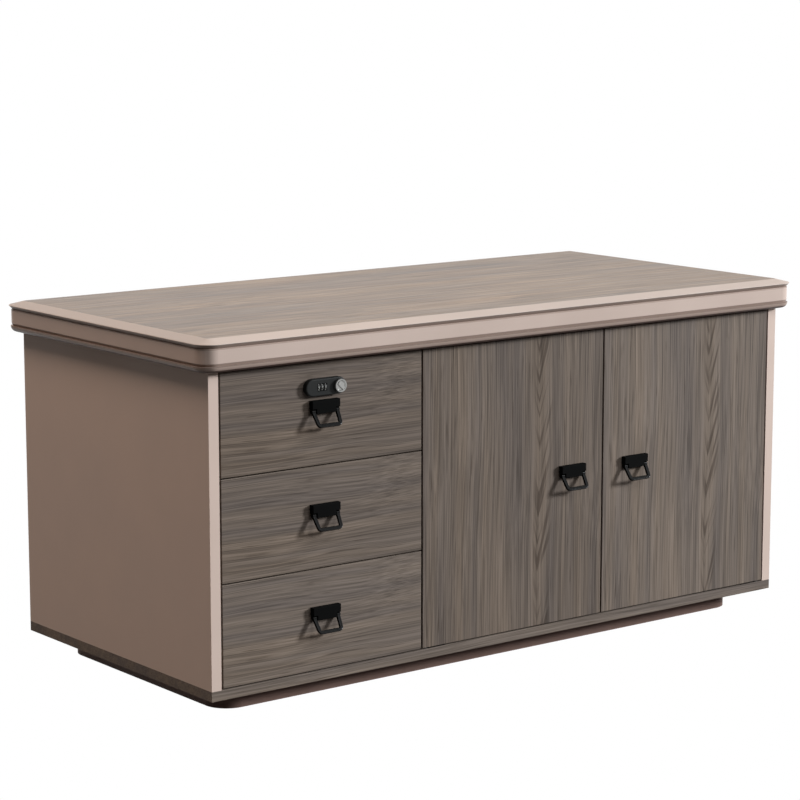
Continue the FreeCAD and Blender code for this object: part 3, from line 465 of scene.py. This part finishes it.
# Screws: zinc-plated steel with low domed heads and a cross recess, driven from inside or from behind.
# None shows from the front when all is shut. One node tree sets a head at each of a group's points, and the
# result is made a plain mesh.
screw_tree = bpy.data.node_groups.new("screw_heads", "GeometryNodeTree")
screw_tree.is_modifier = True
INPUTS = {label: screw_tree.interface.new_socket(label, in_out="INPUT", socket_type=kind).identifier
          for label, kind in (("Points", "NodeSocketGeometry"), ("Head", "NodeSocketObject"),
                              ("Turn", "NodeSocketVector"), ("Finish", "NodeSocketMaterial"))}
screw_tree.interface.new_socket("Screws", in_out="OUTPUT", socket_type="NodeSocketGeometry")
given = screw_tree.nodes.new("NodeGroupInput").outputs
head_shape = add(screw_tree, "GeometryNodeObjectInfo", Object=given["Head"])
set_out = add(screw_tree, "GeometryNodeInstanceOnPoints", Points=given["Points"],
              Instance=head_shape.outputs["Geometry"], Rotation=given["Turn"])
real = add(screw_tree, "GeometryNodeRealizeInstances", Geometry=set_out.outputs["Instances"])
plated = add(screw_tree, "GeometryNodeSetMaterial", Geometry=real.outputs["Geometry"], Material=given["Finish"])
add(screw_tree, "NodeGroupOutput", Screws=plated.outputs["Geometry"])


def cross_head(name, radius, height):
    """A low domed head with a cross recess, standing on z = 0."""
    form = bmesh.new()
    sides = 20
    arm, half = 0.55 * radius, 0.13 * radius
    recess_level, shoulder_level, brow_radius = 0.3 * height, 0.4 * height, 0.82 * radius

    def ring(reach, level):
        turns = [math.tau * step / sides for step in range(sides)]
        return [form.verts.new((reach * math.cos(turn), reach * math.sin(turn), level)) for turn in turns]
    cross = ((arm, -half), (arm, half), (half, half), (half, arm), (-half, arm), (-half, half),
             (-arm, half), (-arm, -half), (-half, -half), (-half, -arm), (half, -arm), (half, -half))
    foot, shoulder, brow = ring(radius, 0.0), ring(radius, shoulder_level), ring(brow_radius, height)
    lip = [form.verts.new((x, y, height)) for x, y in cross]
    recess = [form.verts.new((x, y, recess_level)) for x, y in cross]
    join(form, foot, shoulder)
    join(form, shoulder, brow)
    join(form, lip, recess)
    form.faces.new(recess)
    form.faces.new(foot[::-1])
    fill_between(form, brow, lip)
    return show(name, outward_mesh(name, form))


def screws(name, body, head, points, facing, finish=zinc):
    """Screw heads at points, all facing one way."""
    mesh = bpy.data.meshes.new(f"{name}_points")
    mesh.from_pydata(points, [], [])
    holder = show(f"{name}_points", mesh)
    modifier = holder.modifiers.new("heads", "NODES")
    modifier.node_group = screw_tree
    modifier[INPUTS["Head"]] = head
    modifier[INPUTS["Turn"]] = Vector((0, 0, 1)).rotation_difference(Vector(facing)).to_euler()
    modifier[INPUTS["Finish"]] = finish
    made = plain_mesh(holder)
    bpy.data.objects.remove(holder)
    piece = show(name, made)
    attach(piece, body)


pan_head = cross_head("pan_head", 3.6 * mm, 1.6 * mm)
flat_head = cross_head("flat_head", 2.6 * mm, 0.4 * mm)
slide_head = cross_head("slide_head", 3.4 * mm, 1.2 * mm)

# Handle screws: two for each handle, driven from inside through the front into the block.
# Their heads bear on the back of the drawer's front or the door.
HANDLE_SPAN = 16 * mm
for owner in HANDLES:
    block = middle_of(f"{owner}_handle_block")
    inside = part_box(f"{owner}_front" if owner.endswith("drawer") else f"{owner}_panel")[1][1]
    screws(f"{owner}_handle_screws", owner, pan_head,
           [(block[0] + side * HANDLE_SPAN, inside, block[2]) for side in (-1, 1)], (0, 1, 0))

# Back screws: a row into the back top rail and a column into the divider, driven from behind.
# They hold the thin back against both.
BACK_PITCH, BACK_RISE, BACK_EDGE = 160 * mm, 112 * mm, 22 * mm
RAIL_SCREWS, DIVIDER_SCREWS = 8, 4
back_low, back_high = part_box("back_panel")
rail_level, divider_x = middle_of("back_top_rail")[2], middle_of("divider_panel")[0]
back_points = [(back_low[0] + BACK_EDGE + step * BACK_PITCH, back_high[1], rail_level)
               for step in range(RAIL_SCREWS)]
back_points += [(divider_x, back_high[1], back_low[2] + BACK_EDGE + step * BACK_RISE)
                for step in range(DIVIDER_SCREWS)]
screws("back_screws", "carcass", pan_head, back_points, (0, 1, 0))

# Slide screws: three in each outer rail, into the carcass, and three in each inner rail, into the drawer's side.
# Their heads lie in the rails' hollows.
SLIDE_STATIONS = (0.08, 0.5, 0.9)
SLIDE_SHEET = 1.2 * mm
outer_low, outer_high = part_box("slide_outer_rails")
for row in ROWS:
    rail_low, rail_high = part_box(f"{row}_drawer_slide_rails")
    stations = [rail_low[1] + share * (rail_high[1] - rail_low[1]) for share in SLIDE_STATIONS]
    level = (rail_low[2] + rail_high[2]) / 2
    box_low, box_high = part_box(f"{row}_drawer_sides")
    for end, outer, web, facing in (("left", outer_low[0] + SLIDE_SHEET, box_low[0] - SLIDE_SHEET, 1),
                                    ("right", outer_high[0] - SLIDE_SHEET, box_high[0] + SLIDE_SHEET, -1)):
        screws(f"{row}_{end}_carcass_slide_screws", "carcass", slide_head,
               [(outer, y, level) for y in stations], (facing, 0, 0))
        screws(f"{row}_{end}_drawer_slide_screws", f"{row}_drawer", slide_head,
               [(web, y, level) for y in stations], (-facing, 0, 0))

# Hinge and catch screws: flat heads, two in each pivot leaf and two in each magnetic catch.
# The leaves' screws are darkened like the leaves.
LEAF_STATIONS = (0.42, 0.8)
CATCH_SPAN = 12 * mm
base_top, rail_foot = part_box("base_panel")[1][2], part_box("front_top_rail")[0][2]
catch_y, catch_foot = middle_of("door_catches")[1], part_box("door_catches")[0][2]
for side, inwards in (("left", 1), ("right", -1)):
    door = f"{side}_door"
    leaf_low, leaf_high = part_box(f"{door}_leaves")
    outer_end = leaf_low[0] if inwards > 0 else leaf_high[0]
    spots = [outer_end + inwards * share * (leaf_high[0] - leaf_low[0]) for share in LEAF_STATIONS]
    leaf_y = middle_of(f"{door}_leaves")[1]
    for leaf, body, level, facing in (("lower_leaf", "carcass", base_top, 1),
                                      ("upper_leaf", "carcass", rail_foot, -1),
                                      ("door_foot", door, leaf_low[2], -1),
                                      ("door_head", door, leaf_high[2], 1)):
        screws(f"{side}_{leaf}_screws", body, flat_head, [(x, leaf_y, level) for x in spots], (0, 0, facing),
               dark_zinc)
    strike_x = middle_of(f"{door}_strike")[0]
    screws(f"{side}_catch_screws", "carcass", flat_head,
           [(strike_x + step * CATCH_SPAN, catch_y, catch_foot) for step in (-1, 1)], (0, 0, -1))
for head in (pan_head, flat_head, slide_head):
    bpy.data.objects.remove(head)

# Stage: a wide floor that is plain white to look at, also in a reflection.
# To the light that falls on it, it is dark, so that it throws little back at the cabinet.
FLOOR_REACH = 60.0
FLOOR_DARK = (0.08, 0.079, 0.078, 1)


def seen_directly(tree):
    """1 for rays that see the backdrop from the camera, in a reflection or through something clear."""
    rays = add(tree, "ShaderNodeLightPath").outputs
    near = maths(tree, "MAXIMUM", rays["Is Camera Ray"], rays["Is Glossy Ray"])
    return maths(tree, "MAXIMUM", near, rays["Is Transmission Ray"])


def two_faced(tree, to_light, to_eyes, output):
    """Show one shader to the light that falls on it and another to whatever looks at it."""
    mixed = add(tree, "ShaderNodeMixShader",
                {0: seen_directly(tree), 1: to_light.outputs[0], 2: to_eyes.outputs[0]})
    add(tree, output, Surface=mixed.outputs[0])


floor_mesh = bpy.data.meshes.new("floor")
floor_corners = [(x * FLOOR_REACH, y * FLOOR_REACH, 0.0) for x, y in ((-1, -1), (1, -1), (1, 1), (-1, 1))]
floor_mesh.from_pydata(floor_corners, [], [(0, 1, 2, 3)])
floor_paint = bpy.data.materials.new("floor_paint")
floor_paint.use_nodes = True
floor_tree = floor_paint.node_tree
floor_tree.nodes.clear()
two_faced(floor_tree, add(floor_tree, "ShaderNodeBsdfDiffuse", Color=FLOOR_DARK),
          add(floor_tree, "ShaderNodeEmission", Color=WHITE, Strength=1.0), "ShaderNodeOutputMaterial")
floor_mesh.materials.append(floor_paint)
floor = show("floor", floor_mesh)

# Light: white all round to what shines and a dim warm dome to the rest.
# A low key stands far off at the right, with soft lamps in front, overhead and behind.
DOME_WARMTH, DOME_STRENGTH = (1.0, 0.80, 0.64, 1), 0.06
COOL, WARM, NEUTRAL = (0.95, 0.98, 1.0), (1.0, 0.82, 0.69), (1.0, 0.97, 0.94)
world = bpy.data.worlds.new("studio")
bpy.context.scene.world = world
world.use_nodes = True
world_tree = world.node_tree
world_tree.nodes.clear()
two_faced(world_tree, add(world_tree, "ShaderNodeBackground", Color=DOME_WARMTH, Strength=DOME_STRENGTH),
          add(world_tree, "ShaderNodeBackground", Color=WHITE, Strength=1.0), "ShaderNodeOutputWorld")


def lamp(name, size, energy, colour, where, aim):
    """A round soft lamp at where, turned towards aim."""
    light = bpy.data.lights.new(name, "AREA")
    light.shape, light.size = "DISK", size
    light.energy, light.color = energy, colour
    item = show(name, light)
    item.location = where
    item.rotation_euler = (Vector(where) - Vector(aim)).to_track_quat("Z", "Y").to_euler()
    return item


lamp("key", size=3.3, energy=3850.0, colour=COOL, where=(13.6, -9.4, 5.2), aim=(0.0, -0.3, 0.3))
lamp("front_fill", size=3.0, energy=94.0, colour=COOL, where=(0.8, -4.2, 3.6), aim=(0.0, -0.3, 0.3))
lamp("high_fill", size=2.0, energy=108.0, colour=WARM, where=(-2.3, 0.8, 4.3), aim=(-0.5, 0.0, 0.5))
back_fill = lamp("back_fill", size=2.0, energy=110.0, colour=NEUTRAL, where=(0.6, 5.2, 1.3), aim=(0.0, 0.3, 0.3))
back_fill.visible_glossy = False

# Camera: where the photograph was taken from, off to the left in front and looking down a little.
# Its place, turn and lens were fitted to the cabinet's corners in the photograph.
LENS, SENSOR = 118.17, 36.0
LOOK_DOWN, LOOK_RIGHT = 9.6576, 37.7017
camera = show("camera", bpy.data.cameras.new("camera"))
camera.data.lens, camera.data.sensor_width = LENS, SENSOR
camera.location = (-2.73734, -3.50835, 1.15832)
camera.rotation_euler = Euler((math.radians(90 - LOOK_DOWN), 0.0, math.radians(-LOOK_RIGHT)))
bpy.context.scene.camera = camera
bpy.context.scene.view_settings.view_transform = "Standard"
